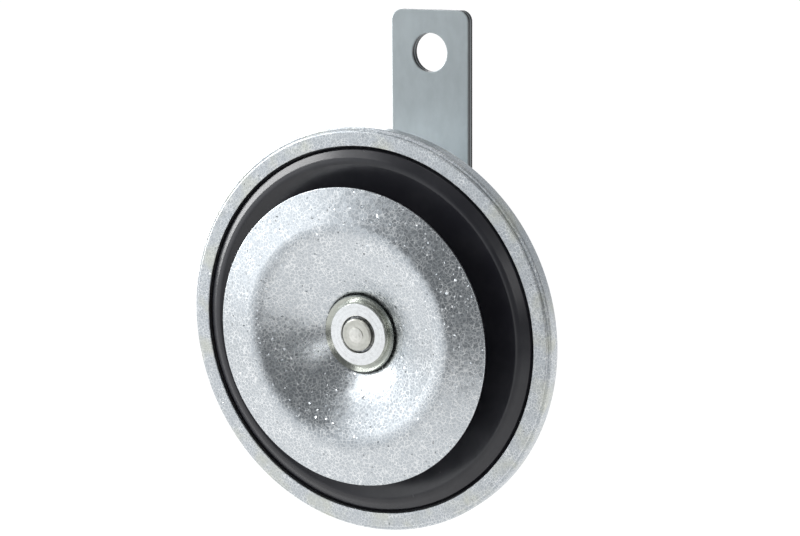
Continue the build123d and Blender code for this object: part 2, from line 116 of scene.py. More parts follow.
def choose_vertices(wanted):
    """Selects the vertices of the edited piece whose world place passes the test."""
    bpy.ops.mesh.select_mode(type="VERT")
    bpy.ops.mesh.select_all(action="DESELECT")
    mesh = edit_mesh()
    to_world = bpy.context.object.matrix_world
    for vertex in mesh.verts:
        if wanted(to_world @ vertex.co):
            vertex.select = True
    mesh.select_flush(True)
    bmesh.update_edit_mesh(bpy.context.object.data)


def choose_nearest(point):
    """Selects the one vertex of the edited piece that lies nearest a world point."""
    bpy.ops.mesh.select_mode(type="VERT")
    bpy.ops.mesh.select_all(action="DESELECT")
    mesh = edit_mesh()
    local = bpy.context.object.matrix_world.inverted() @ point
    nearest = min(mesh.verts, key=lambda vertex: (vertex.co - local).length)
    nearest.select = True
    mesh.select_flush(True)
    bmesh.update_edit_mesh(bpy.context.object.data)


def start_line(name, points, closed=True):
    """Draws a chain of edges through the points, and leaves it in edit mode."""
    deselect()
    bpy.ops.mesh.primitive_plane_add(size=MM, location=points[0])
    piece = bpy.context.object
    piece.name = name
    piece.data.name = name
    bpy.ops.object.mode_set(mode="EDIT")
    bpy.ops.mesh.select_all(action="SELECT")
    bpy.ops.mesh.merge(type="CENTER")
    extend_line(points, closed)
    return piece


def extend_line(points, closed):
    """Draws on from the one selected vertex, which lies at the first point."""
    for start, end in zip(points, points[1:]):
        bpy.ops.mesh.extrude_vertices_move(TRANSFORM_OT_translate={"value": end - start})
    if closed:
        ends = [points[0], points[-1]]
        choose_vertices(lambda place: min((place - end).length for end in ends) < MM / 100)
        bpy.ops.mesh.edge_face_add()


def round_corner(point, before, after, radius, segments):
    """Rounds the corner at a point of a drawn line to a radius."""
    turn = (point - before).angle(after - point)
    choose_nearest(point)
    bpy.ops.mesh.bevel(
        offset_type="OFFSET",
        offset=radius * math.tan(turn / 2),
        segments=segments,
        profile=0.5,
        affect="VERTICES",
    )


def round_corners(points, radii, closed=True):
    """Rounds every corner of a drawn line that has a radius."""
    count = len(points)
    for index, radius in enumerate(radii):
        if radius:
            before = points[index - 1]
            after = points[(index + 1) % count]
            segments = max(CORNER_SEGMENTS, round(radius / BEND_STEP))
            round_corner(points[index], before, after, radius, segments)


def finish_mesh(piece, smooth_angle):
    """Merges doubles, turns the faces outwards, smooths the piece and puts its place in its mesh."""
    if bpy.context.object.mode != "EDIT":
        bpy.ops.object.mode_set(mode="EDIT")
    bpy.ops.mesh.select_all(action="SELECT")
    bpy.ops.mesh.remove_doubles(threshold=MM / 500)
    bpy.ops.mesh.normals_make_consistent(inside=False)
    bpy.ops.object.mode_set(mode="OBJECT")
    bpy.ops.object.transform_apply(location=True, rotation=True, scale=True)
    bpy.ops.object.shade_smooth_by_angle(angle=smooth_angle)
    apply_modifier(piece, "WEIGHTED_NORMAL", keep_sharp=True)
    return piece


CORNER_SEGMENTS = 7
BEND_STEP = 0.8 * MM
TURN_STEPS = 256
SMALL_TURN_STEPS = 96
THREAD_STEPS = 48
SMOOTH_ANGLE = math.radians(32)


def turned(name, outline, steps=TURN_STEPS, axis_point=AXIS_POINT):
    """Spins a closed half section about the horn's axis. outline holds (radius, depth, corner radius)."""
    points = [section(radius, depth) for radius, depth, _ in outline]
    shift = axis_point - AXIS_POINT
    points = [point + shift for point in points]
    piece = start_line(name, points)
    round_corners(points, [corner for _, _, corner in outline])
    bpy.ops.mesh.select_all(action="SELECT")
    bpy.ops.mesh.spin(steps=steps, angle=2 * math.pi, center=axis_point, axis=(0, 1, 0))
    return finish_mesh(piece, SMOOTH_ANGLE)


def sheet_outline(front, sheet, bends):
    """The closed outline of a bent sheet. front holds (radius, depth) along its front face, and the
    sheet lies behind it; bends holds a radius for each inner point, on the front face."""
    directions = [
        (Vector(end) - Vector(start)).normalized() for start, end in zip(front, front[1:])
    ]
    back = []
    for index, point in enumerate(front):
        before = directions[max(index - 1, 0)]
        after = directions[min(index, len(directions) - 1)]
        normal = Vector((-before.y - after.y, before.x + after.x))
        normal /= normal.dot(Vector((-before.y, before.x)))
        back.append(Vector(point) + sheet * normal)
    outline = [(x, y, 0) for x, y in front]
    for index, bend in enumerate(bends):
        x, y = front[index + 1]
        outline[index + 1] = (x, y, bend)
    rear = []
    for index, (x, y) in enumerate(back):
        bend = 0
        if 0 < index < len(front) - 1 and bends[index - 1]:
            turns_back = directions[index - 1].cross(directions[index]) < 0
            bend = bends[index - 1] + (sheet if turns_back else -sheet)
        rear.append((x, y, max(bend, 0)))
    return outline + rear[::-1]


def dress(piece, body, slot, finish, *replaced):
    """Gives a new piece its body and its finish, and hides the nodes that it stands for; its slot is not used."""
    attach(piece, body)
    finish_dress(piece, slot, finish, *replaced)


def finish_dress(piece, slot, finish, *replaced):
    """Gives a piece that already has its body the rest of what dress gives."""
    if replaced:
        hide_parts(*replaced)
    piece.data.materials.clear()
    piece.data.materials.append(finish)
    return piece


def apply_modifier(piece, kind, **settings):
    """Adds a modifier with its settings and applies it."""
    modifier = piece.modifiers.new(kind.title(), kind)
    for key, value in settings.items():
        setattr(modifier, key, value)
    bpy.context.view_layer.objects.active = piece
    bpy.ops.object.modifier_apply(modifier=modifier.name)


def drill(piece, centre, radius, length):
    """Cuts a round hole through a piece, along the horn's axis."""
    deselect()
    bpy.ops.mesh.primitive_cylinder_add(
        vertices=96, radius=radius, depth=length, location=centre, rotation=(math.pi / 2, 0, 0)
    )
    cut(piece, bpy.context.object)


def cut(piece, cutter):
    """Takes one object's form out of a piece, and deletes that object."""
    apply_modifier(piece, "BOOLEAN", object=cutter, operation="DIFFERENCE", solver="EXACT")
    bpy.data.objects.remove(cutter, do_unlink=True)


def threaded_rod(name, axis_point, radius, pitch, groove, start, end):
    """A rod with a helical thread from start to end, in Y, bevelled at its rear end."""
    turns = math.ceil((end - start) / pitch) + 2
    first = start - pitch
    root = radius - groove
    profile = [(root, 0.0), (radius, 0.42), (radius, 0.58), (root, 1.0)]
    points = [Vector((axis_point.x, first + part * pitch, axis_point.z + r)) for r, part in profile]
    rod = start_line(name, points, closed=False)
    bpy.ops.object.mode_set(mode="OBJECT")
    bpy.context.scene.cursor.location = (axis_point.x, first, axis_point.z)
    bpy.ops.object.origin_set(type="ORIGIN_CURSOR")
    apply_modifier(
        rod, "SCREW", axis="Y", angle=2 * math.pi, screw_offset=pitch, iterations=turns,
        steps=THREAD_STEPS, render_steps=THREAD_STEPS,
    )
    bpy.ops.object.mode_set(mode="EDIT")
    bpy.ops.mesh.select_all(action="SELECT")
    bpy.ops.mesh.remove_doubles(threshold=MM / 500)
    bevel = groove * 0.8
    for height, side in ((start, -1), (end - bevel, 1)):
        bpy.ops.mesh.select_all(action="SELECT")
        bpy.ops.mesh.bisect(
            plane_co=(0, height, 0), plane_no=(0, side, 0), use_fill=True, clear_outer=True
        )
    choose_vertices(lambda place: place.y > end - bevel - MM / 1000)
    bpy.ops.mesh.extrude_region_move(TRANSFORM_OT_translate={"value": (0, bevel, 0)})
    bpy.ops.transform.resize(
        value=(1 - bevel / radius, 1, 1 - bevel / radius), center_override=(axis_point.x, end, axis_point.z)
    )
    return finish_mesh(rod, SMOOTH_ANGLE)


def join(piece, *others):
    """Makes other objects part of a piece."""
    deselect()
    for item in (piece, *others):
        item.select_set(True)
    bpy.context.view_layer.objects.active = piece
    bpy.ops.object.join()
    return piece


# ------------------------------------------------------------------ shader helpers
class Signal:
    """A shader value that takes part in arithmetic: each operator adds its Math node."""

    def __init__(self, finish, socket):
        self.finish = finish
        self.socket = socket

    def math(self, operation, *values):
        node = self.finish.node("ShaderNodeMath", {"operation": operation})
        for index, value in enumerate(values):
            self.finish.feed(node.inputs[index], value)
        return Signal(self.finish, node.outputs[0])

    def __add__(self, other):
        return self.math("ADD", self, other)

    def __sub__(self, other):
        return self.math("SUBTRACT", self, other)

    def __rsub__(self, other):
        return self.math("SUBTRACT", other, self)

    def __mul__(self, other):
        return self.math("MULTIPLY", self, other)

    def __truediv__(self, other):
        return self.math("DIVIDE", self, other)

    __radd__ = __add__
    __rmul__ = __mul__

    def ramp(self, low, high, start=0.0, end=1.0):
        """Smoothly maps low..high to start..end, held level beyond both."""
        sockets = {"Value": self, "From Min": low, "From Max": high, "To Min": start, "To Max": end}
        settings = {"interpolation_type": "SMOOTHSTEP"}
        node = self.finish.node("ShaderNodeMapRange", settings, sockets)
        return Signal(self.finish, node.outputs["Result"])


class Nodes:
    """A node tree, and the one way that nodes are added to it."""

    def __init__(self, tree):
        self.tree = tree

    def feed(self, socket, value):
        """Links or sets one input socket."""
        if isinstance(value, Signal):
            value = value.socket
        if isinstance(value, bpy.types.NodeSocket):
            self.tree.links.new(value, socket)
        else:
            socket.default_value = value

    def node(self, kind, settings=None, sockets=None):
        """Adds a node: its settings first, then a value or a link for each named socket."""
        node = self.tree.nodes.new(kind)
        for key, value in (settings or {}).items():
            setattr(node, key, value)
        for key, value in (sockets or {}).items():
            self.feed(node.inputs[key], value)
        return node


class Finish(Nodes):
    """A material and its nodes, on Object coordinates."""

    def __init__(self, name, **constants):
        self.material = bpy.data.materials.new(name)
        self.material.use_nodes = True
        super().__init__(self.material.node_tree)
        self.shader = self.tree.nodes["Principled BSDF"]
        self.place = self.node("ShaderNodeTexCoord").outputs["Object"]
        for key, value in constants.items():
            self.shader.inputs[key.replace("_", " ").title().replace("Ior", "IOR")].default_value = value

    def moved(self, scale=(1, 1, 1), location=(0, 0, 0), rotation=(0, 0, 0)):
        """Object coordinates, stretched, shifted or turned."""
        sockets = {"Vector": self.place, "Scale": scale, "Location": location, "Rotation": rotation}
        return self.node("ShaderNodeMapping", None, sockets).outputs["Vector"]

    def noise(self, size, detail=3.0, roughness=0.55, vector=None, distortion=0.0):
        """Noise whose blobs are about size metres across, 0 to 1."""
        sockets = {
            "Vector": vector or self.place,
            "Scale": 1 / size,
            "Detail": detail,
            "Roughness": roughness,
            "Distortion": distortion,
        }
        return Signal(self, self.node("ShaderNodeTexNoise", None, sockets).outputs["Fac"])

    def warped(self, size, amount):
        """Object coordinates pushed about by noise."""
        noise = self.node("ShaderNodeTexNoise", None, {"Vector": self.place, "Scale": 1 / size})
        centred = self.node(
            "ShaderNodeVectorMath", {"operation": "SUBTRACT"}, {0: noise.outputs["Color"], 1: (0.5, 0.5, 0.5)}
        )
        scaled = self.node(
            "ShaderNodeVectorMath", {"operation": "SCALE"}, {0: centred.outputs[0], "Scale": amount}
        )
        added = self.node("ShaderNodeVectorMath", {"operation": "ADD"}, {0: self.place, 1: scaled.outputs[0]})
        return added.outputs[0]

    def cells(self, size, feature, output, vector=None):
        """A cell pattern whose cells are about size metres across."""
        sockets = {"Vector": vector or self.place, "Scale": 1 / size}
        node = self.node("ShaderNodeTexVoronoi", {"feature": feature}, sockets)
        return node.outputs[output]

    def mix(self, factor, first, second):
        """A colour between two colours."""
        node = self.node("ShaderNodeMix", {"data_type": "RGBA"})
        self.feed(node.inputs[0], factor)
        self.feed(node.inputs[6], opaque(first))
        self.feed(node.inputs[7], opaque(second))
        return node.outputs[2]

    def from_axis(self):
        """The distance from the horn's axis, in metres."""
        centred = self.moved(location=-AXIS_POINT)
        parts = self.node("ShaderNodeSeparateXYZ", None, {"Vector": centred})
        x = Signal(self, parts.outputs["X"])
        z = Signal(self, parts.outputs["Z"])
        return (x * x + z * z).math("SQRT", x * x + z * z)

    def bump(self, height, distance, strength=1.0):
        """Feeds the shader's normal from a height signal."""
        sockets = {"Height": height, "Distance": distance, "Strength": strength}
        node = self.node("ShaderNodeBump", None, sockets)
        self.feed(self.shader.inputs["Normal"], node.outputs["Normal"])

    def facets(self, vector, *layers):
        """Turns the normal another way in each cell. A layer is a cell size, a turn and a share of cells."""
        normal = self.node("ShaderNodeNewGeometry").outputs["Normal"]
        for size, turn, share in layers:
            colour = self.cells(size, "F1", "Color", vector)
            centred = self.node("ShaderNodeVectorMath", {"operation": "SUBTRACT"}, {0: colour, 1: (0.5, 0.5, 0.5)})
            chance = Signal(self, self.node("ShaderNodeTexWhiteNoise", None, {"Vector": colour}).outputs["Value"])
            amount = chance.math("LESS_THAN", chance, share) * turn
            scaled = self.node("ShaderNodeVectorMath", {"operation": "SCALE"}, {0: centred.outputs[0], "Scale": amount})
            normal = self.node("ShaderNodeVectorMath", {"operation": "ADD"}, {0: normal, 1: scaled.outputs[0]}).outputs[0]
        unit = self.node("ShaderNodeVectorMath", {"operation": "NORMALIZE"}, {0: normal})
        self.feed(self.shader.inputs["Normal"], unit.outputs[0])

    def colour(self, value):
        self.feed(self.shader.inputs["Base Color"], value)

    def roughness(self, value):
        self.feed(self.shader.inputs["Roughness"], value)


def opaque(colour):
    """A colour with its alpha, or a socket as it is."""
    if isinstance(colour, (bpy.types.NodeSocket, Signal)):
        return colour
    return (*colour, 1.0)[:4]


# ------------------------------------------------------------------ finishes
def spangled_zinc(name, base, light, crystal, polish, tarnish=0.0, flashes=0.03):
    """Zinc-coated sheet: a fine pale network between crystals, and crystals that tilt a little."""
    finish = Finish(name, metallic=1.0)
    crystals = finish.warped(crystal * 1.6, crystal * 1.3)
    edges = Signal(finish, finish.cells(crystal, "DISTANCE_TO_EDGE", "Distance", crystals))
    patches = finish.noise(3.4 * MM, 4.0, 0.6).ramp(0.34, 0.66)
    lines = edges.ramp(0.03, 0.11, 1.0, 0.0) * patches.ramp(0.0, 1.0, 0.50, 1.0)
    grains = finish.noise(crystal * 0.5, 2.0, 0.6)
    shade = finish.mix(grains.ramp(0.30, 0.66), [part * 0.88 for part in base], base)
    colour = finish.mix(lines, shade, light)
    if tarnish:
        cloud = finish.noise(7.0 * MM, 3.0, 0.55).ramp(0.45, 0.72) * tarnish
        colour = finish.mix(cloud, colour, (0.70, 0.70, 0.56))
    finish.colour(colour)
    finish.roughness(polish + lines * 0.10 + grains.ramp(0.35, 0.70) * 0.04)
    finish.facets(crystals, (crystal, 0.05, 1.0), (crystal * 0.40, 0.85, flashes))
    return finish.material


def black_lacquer(name, colour, dust_tint):
    """Dark lacquer over pressed sheet, with a fine skin and a few specks of dust."""
    finish = Finish(name, metallic=0.0, ior=1.56)
    skin = finish.noise(0.9 * MM, 2.0, 0.5)
    haze = finish.noise(9.0 * MM, 3.0, 0.6)
    near_speck = Signal(finish, finish.cells(7.0 * MM, "F1", "Distance")).ramp(0.020, 0.032, 1.0, 0.0)
    chosen = finish.node("ShaderNodeSeparateColor", None, {"Color": finish.cells(7.0 * MM, "F1", "Color")})
    specks = near_speck * Signal(finish, chosen.outputs["Red"]).ramp(0.60, 0.64)
    lifted = [part + 0.012 for part in colour]
    body = finish.mix(haze.ramp(0.35, 0.75), colour, lifted)
    finish.colour(finish.mix(specks, body, dust_tint))
    finish.roughness(0.24 + haze * 0.05 + specks * 0.5)
    finish.bump(skin, 0.006 * MM, 0.5)
    return finish.material


def plated(name, colour, polish, dullness=0.14, heart=None, reach=(0.9 * MM, 2.9 * MM)):
    """Turned or pressed plated metal: faint bands about the axis, small scuffs, and perhaps another colour at its
    heart, which for the hub face is painted shade in the collar's well.
    """
    finish = Finish(name, metallic=1.0)
    radius = finish.from_axis()
    turning = radius * (2 * math.pi / (0.85 * MM))
    bands = turning.math("SINE", turning) * 0.5 + 0.5
    scuffs = finish.noise(0.9 * MM, 4.0, 0.65)
    wear = scuffs.ramp(0.40, 0.72)
    tint = [part * 0.86 for part in colour]
    if heart:
        # Inside reach the heart colour; for the hub face this is near-black painted shade in the collar's well.
        colour = finish.mix(radius.ramp(*reach), heart, colour)
    finish.colour(finish.mix(wear * 0.6 + bands * 0.25, colour, tint))
    finish.roughness(polish + wear * dullness)
    finish.bump(bands * 0.25 + scuffs * 0.4, 0.016 * MM, 0.5)
    return finish.material


def satin_strip(name, colour, edge):
    """Smooth rolled strip under a thin grey coat, near-black wherever a face turns sideways: its cut edges and the
    walls of its holes.
    """
    finish = Finish(name, metallic=0.75)
    marks = finish.noise(3.0 * MM, 4.0, 0.6, finish.moved(scale=(1.0, 1.0, 0.5)))
    fine = finish.noise(0.6 * MM, 2.0, 0.5)
    tint = [part * 0.90 for part in colour]
    face = finish.mix(marks.ramp(0.30, 0.70), tint, colour)
    facing = finish.node("ShaderNodeSeparateXYZ", None, {0: finish.node("ShaderNodeNewGeometry").outputs["Normal"]})
    flatness = Signal(finish, facing.outputs["Y"]).math("ABSOLUTE", Signal(finish, facing.outputs["Y"]))
    finish.colour(finish.mix(flatness.ramp(0.10, 0.45), edge, face))
    finish.roughness(0.32 + marks * 0.10)
    finish.bump(fine * 0.4 + marks * 0.6, 0.012 * MM, 0.5)
    return finish.material


def rolled_metal(name, colour, polish, grain=0.5 * MM):
    """Plain sheet or wire metal with fine grain and slight tarnish."""
    finish = Finish(name, metallic=1.0)
    tarnish = finish.noise(2.5 * MM, 4.0, 0.6)
    fine = finish.noise(grain, 2.0, 0.5)
    tint = [part * 0.80 for part in colour]
    finish.colour(finish.mix(tarnish.ramp(0.30, 0.72), tint, colour))
    finish.roughness(polish + tarnish * 0.16)
    finish.bump(fine, 0.01 * MM, 0.5)
    return finish.material


def moulded(name, colour, polish, fleck):
    """Board, fibre or moulded plastic: a speckled body with a dull skin."""
    finish = Finish(name, metallic=0.0)
    specks = finish.noise(fleck, 3.0, 0.6)
    tint = [part * 0.72 for part in colour]
    finish.colour(finish.mix(specks.ramp(0.35, 0.65), tint, colour))
    finish.roughness(polish + specks * 0.12)
    finish.bump(specks, 0.02 * MM, 0.5)
    return finish.material


def wound_wire(name, colour, wire):
    """Enamelled winding: ridges round the core, one for each turn, with painted shade darkening the grooves between
    turns.
    """
    finish = Finish(name, metallic=1.0)
    parts = finish.node("ShaderNodeSeparateXYZ", None, {"Vector": finish.place})
    depth = Signal(finish, parts.outputs["Y"])
    turns = depth * (2 * math.pi / wire)
    ridges = turns.math("SINE", turns) * 0.5 + 0.5
    # tint is painted shade, laid in the grooves between the turns.
    tint = [part * 0.45 for part in colour]
    finish.colour(finish.mix(ridges, tint, colour))
    finish.roughness(0.30 + finish.noise(1.5 * MM) * 0.15)
    finish.bump(ridges, wire * 0.3, 0.8)
    return finish.material


# ------------------------------------------------------------------ what a user may change
class HornSizes(bpy.types.PropertyGroup):
    """Sizes of the visible metalwork."""

    ring_sheet: FloatProperty(
        name="Ring sheet", description="Thickness of the clamp ring's sheet", default=1.0 * MM, unit="LENGTH"
    )
    ring_face: FloatProperty(
        name="Ring face", description="Width of the clamp ring's front", default=4.12 * MM, unit="LENGTH"
    )
    ring_step: FloatProperty(
        name="Ring step", description="Width of the crimping tool's step", default=0.75 * MM, unit="LENGTH"
    )
    ring_step_depth: FloatProperty(
        name="Step depth", description="Depth of the crimping tool's step", default=0.6 * MM, unit="LENGTH"
    )
    diaphragm_sheet: FloatProperty(
        name="Diaphragm sheet", description="Thickness of the diaphragm", default=0.4 * MM, unit="LENGTH"
    )
    disc_sheet: FloatProperty(
        name="Disc sheet", description="Thickness of the tone disc", default=1.0 * MM, unit="LENGTH"
    )
    ridge_radius: FloatProperty(
        name="Ridge radius", description="Where bowl and rim cone would meet", default=23.55 * MM, unit="LENGTH"
    )
    bowl_curve: FloatProperty(
        name="Bowl curve", description="Radius of the bowl's section", default=50.0 * MM, unit="LENGTH"
    )
    strip_edge: FloatProperty(
        name="Strip edge", description="Rounding of the bracket strip's edges", default=0.22 * MM, unit="LENGTH"
    )


class HornColours(bpy.types.PropertyGroup):
    """Colours of the finishes."""

    zinc: FloatVectorProperty(
        name="Zinc", description="Zinc-coated sheet between its crystals", subtype="COLOR", size=3,
        default=(0.58, 0.615, 0.645),
    )
    zinc_light: FloatVectorProperty(
        name="Zinc network", description="Pale lines between the zinc crystals", subtype="COLOR", size=3,
        default=(0.90, 0.92, 0.93),
    )
    lacquer: FloatVectorProperty(
        name="Lacquer", description="The diaphragm's lacquer", subtype="COLOR", size=3,
        default=(0.020, 0.020, 0.026),
    )
    strip: FloatVectorProperty(
        name="Strip", description="The bracket strip", subtype="COLOR", size=3, default=(0.49, 0.54, 0.555)
    )
    hub: FloatVectorProperty(
        name="Hub", description="The hub's plated pieces", subtype="COLOR", size=3, default=(0.95, 0.96, 0.96)
    )
    brass: FloatVectorProperty(
        name="Brass", description="Terminals and rivets", subtype="COLOR", size=3, default=(0.78, 0.60, 0.30)
    )


class HornStage(bpy.types.PropertyGroup):
    """Camera, lamps and floor."""

    azimuth: FloatProperty(
        name="Azimuth", description="The camera's turn to the right of the axis", subtype="ANGLE",
        default=0.5110649,
    )
    elevation: FloatProperty(
        name="Elevation", description="The camera's height angle", subtype="ANGLE", default=0.1978322
    )
    roll: FloatProperty(name="Roll", description="The camera's roll", subtype="ANGLE", default=-0.0075716)
    distance: FloatProperty(
        name="Distance", description="From the ring's centre to the camera", default=0.4168, unit="LENGTH"
    )
    aim_right: FloatProperty(
        name="Aim right", description="How far right of the ring's centre the camera looks", default=0.008204,
        unit="LENGTH",
    )
    aim_up: FloatProperty(
        name="Aim up", description="How far above the ring's centre the camera looks", default=0.014339,
        unit="LENGTH",
    )
    lens: FloatProperty(name="Lens", description="Focal length in millimetres", default=84.24)
    floor_drop: FloatProperty(
        name="Floor drop", description="From the horn's lowest point to the floor", default=0.30, unit="LENGTH"
    )
    lamp_level: FloatProperty(name="Lamp level", description="Factor on every lamp", default=1.0, min=0.0)


def sizes():
    return bpy.context.scene.horn_sizes


def colours():
    return bpy.context.scene.horn_colours


FINISHES = {}


def finish_for(slot):
    """The finish of a material slot, made when it is first asked for."""
    if slot not in FINISHES:
        FINISHES[slot] = make_finish(slot)
    return FINISHES[slot]


def make_finish(slot):
    """Makes one finish by its slot's name."""
    tints = colours()
    zinc, light = tuple(tints.zinc), tuple(tints.zinc_light)
    hub, brass = tuple(tints.hub), tuple(tints.brass)
    makers = {
        "zinc_plated_steel": lambda: spangled_zinc("Spangled zinc", zinc, light, 0.85 * MM, 0.26),
        "clamp_zinc": lambda: spangled_zinc("Tarnished zinc", zinc, light, 0.70 * MM, 0.33, 0.45, 0.006),
        "peened_end": lambda: plated("Peened end", (0.72, 0.72, 0.66), 0.36, 0.14, (0.99, 0.98, 0.93)),
        # Hub face: its near-black heart is painted shade in the collar's bore and on its ledge.
        "hub_face": lambda: plated("Hub face", hub, 0.17, 0.10, (0.05, 0.055, 0.065), (4.10 * MM, 4.32 * MM)),
        "plated_hub": lambda: plated("Plated hub", tuple(part * 0.80 for part in hub), 0.24, 0.10),
        "plated_washer": lambda: plated("Plated washer", (0.52, 0.54, 0.49), 0.22),
        "black_lacquer": lambda: black_lacquer("Black lacquer", tuple(tints.lacquer), (0.7, 0.7, 0.7)),
        "bracket_steel": lambda: satin_strip("Satin strip", tuple(tints.strip), (0.04, 0.04, 0.043)),
        "bare_steel": lambda: rolled_metal("Bare steel", (0.55, 0.55, 0.56), 0.32),
        "spring_steel": lambda: rolled_metal("Spring steel", (0.42, 0.42, 0.44), 0.28),
        "brass": lambda: rolled_metal("Brass", brass, 0.26),
        "contact_metal": lambda: rolled_metal("Contact metal", (0.40, 0.40, 0.42), 0.45),
        "can_metal": lambda: rolled_metal("Can metal", (0.74, 0.75, 0.76), 0.34),
        "copper_wire": lambda: wound_wire("Copper wire", (0.62, 0.26, 0.12), 0.55 * MM),
        "gasket": lambda: moulded("Gasket board", (0.28, 0.24, 0.19), 0.75, 0.4 * MM),
        "fibre": lambda: moulded("Vulcanised fibre", (0.40, 0.16, 0.10), 0.55, 0.3 * MM),
        "terminal_board": lambda: moulded("Terminal board", (0.24, 0.13, 0.07), 0.42, 0.5 * MM),
        "bobbin_plastic": lambda: moulded("Bobbin plastic", (0.04, 0.04, 0.042), 0.45, 0.6 * MM),
    }
    return makers[slot]()


# ------------------------------------------------------------------ operators, one for each group of pieces
class HORN_OT_clamp_ring(bpy.types.Operator):
    """Spins the crimped clamp ring"""

    bl_idname = "horn.clamp_ring"
    bl_label = "Clamp Ring"

    def execute(self, context):
        size = sizes()
        sheet = size.ring_sheet
        lip_r = RING_R - size.ring_face
        back = depth_of(RING_BACK)
        back_lip_r = lip_r + 0.92 * MM
        outline = [
            (lip_r, sheet, 0.12 * MM),
            (lip_r, 0, 0.25 * MM),
            (RING_R - size.ring_step, 0, 0.40 * MM),
            (RING_R - size.ring_step, size.ring_step_depth, 0.10 * MM),
            (RING_R, 0.5 * MM, 0.40 * MM),
            (RING_R, back, 0.90 * MM),
            (back_lip_r, back, 0.12 * MM),
            (back_lip_r, back - sheet, 0),
            (RING_R - sheet, back - sheet, 0),
            (RING_R - sheet, sheet, 0),
        ]
        ring = turned("clamp_ring_spun", outline)
        dress(ring, "horn_body", "zinc_plated_steel", finish_for("clamp_zinc"), "clamp_ring")
        return {"FINISHED"}


class HORN_OT_diaphragm(bpy.types.Operator):
    """Spins the diaphragm with its rounded bead"""

    bl_idname = "horn.diaphragm"
    bl_label = "Diaphragm"

    def execute(self, context):
        size = sizes()
        rim = 1.4 * MM
        foot_r = RING_R - size.ring_face - 0.38 * MM
        front = [
            (3.05 * MM, 2.2 * MM),
            (28.0 * MM, 2.2 * MM),
            (foot_r - 2.70 * MM, -0.88 * MM),
            (foot_r - 0.40 * MM, 0.42 * MM),
            (foot_r, rim),
            (STACK_R, rim),
        ]
        bends = [10.0 * MM, 2.2 * MM, 0.3 * MM, 0.4 * MM]
        sheet = turned("diaphragm_spun", sheet_outline(front, size.diaphragm_sheet, bends))
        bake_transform(sheet)
        finish_dress(sheet, "black_lacquer", finish_for("black_lacquer"), "diaphragm")
        return {"FINISHED"}


class HORN_OT_tone_disc(bpy.types.Operator):
    """Spins the dished tone disc"""

    bl_idname = "horn.tone_disc"
    bl_label = "Tone Disc"

    def execute(self, context):
        size = sizes()
        front = [
            (3.05 * MM, -0.9 * MM),
            (8.4 * MM, -0.9 * MM),
            (14.0 * MM, -4.3 * MM),
            (size.ridge_radius, -8.45 * MM),
            (33.5 * MM, -6.25 * MM),
        ]
        bends = [1.5 * MM, 40.0 * MM, 8.0 * MM]
        disc = turned("tone_disc_spun", trimmed_outline(front, size.disc_sheet, bends))
        dress(disc, "sounder", "zinc_plated_steel", finish_for("zinc_plated_steel"), "tone_disc")
        return {"FINISHED"}


def trimmed_outline(front, sheet, bends):
    """A sheet's outline whose outer edge is rounded."""
    outline = sheet_outline(front, sheet, bends)
    edge = len(front) - 1
    for index in (edge, edge + 1):
        x, y, _ = outline[index]
        outline[index] = (x, y, 0.2 * MM)
    return outline


class HORN_OT_hub(bpy.types.Operator):
    """Spins the riveted hub: cup washer, collar and armature"""

    bl_idname = "horn.hub"
    bl_label = "Hub"

    def execute(self, context):
        bore = 3.05 * MM
        back = -1.4 * MM
        front = [(bore, back), (7.15 * MM, back), (8.5 * MM, back - 0.75 * MM)]
        washer = turned("cup_washer_spun", sheet_outline(front, 0.5 * MM, [0.5 * MM]), SMALL_TURN_STEPS)
        dress(washer, "sounder", "plated_washer", finish_for("plated_washer"), "cup_washer")

        face = -2.4 * MM
        ledge = -1.75 * MM
        collar = turned(
            "hub_collar_spun",
            [
                (bore, back, 0),
                (bore, ledge, 0),
                (4.1 * MM, ledge, 0),
                (4.25 * MM, face, 0.20 * MM),
                (7.0 * MM, face, 0.12 * MM),
                (7.0 * MM, back, 0),
            ],
            SMALL_TURN_STEPS,
        )
        dress(collar, "sounder", "plated_hub", finish_for("hub_face"), "hub_collar")

        head = -3.2 * MM
        flange = 2.6 * MM
        armature = turned(
            "armature_turned",
            [
                (0, head - 0.15 * MM, 0),
                (1.75 * MM, head - 0.15 * MM, 0.07 * MM),
                (1.75 * MM, head, 0),
                (3.3 * MM, head, 0),
                (3.65 * MM, head + 0.3 * MM, 0.1 * MM),
                (3.65 * MM, ledge, 0),
                (3.0 * MM, ledge, 0),
                (3.0 * MM, flange, 0),
                (11.5 * MM, flange, 0.1 * MM),
                (11.5 * MM, flange + 2.2 * MM, 0),
                (8.0 * MM, flange + 2.2 * MM, 0),
                (8.0 * MM, 11.7 * MM, 0),
                (7.5 * MM, 12.2 * MM, 0),
                (0, 12.2 * MM, 0),
            ],
            SMALL_TURN_STEPS,
        )
        dress(armature, "sounder", "plated_hub", finish_for("peened_end"), "armature")
        return {"FINISHED"}


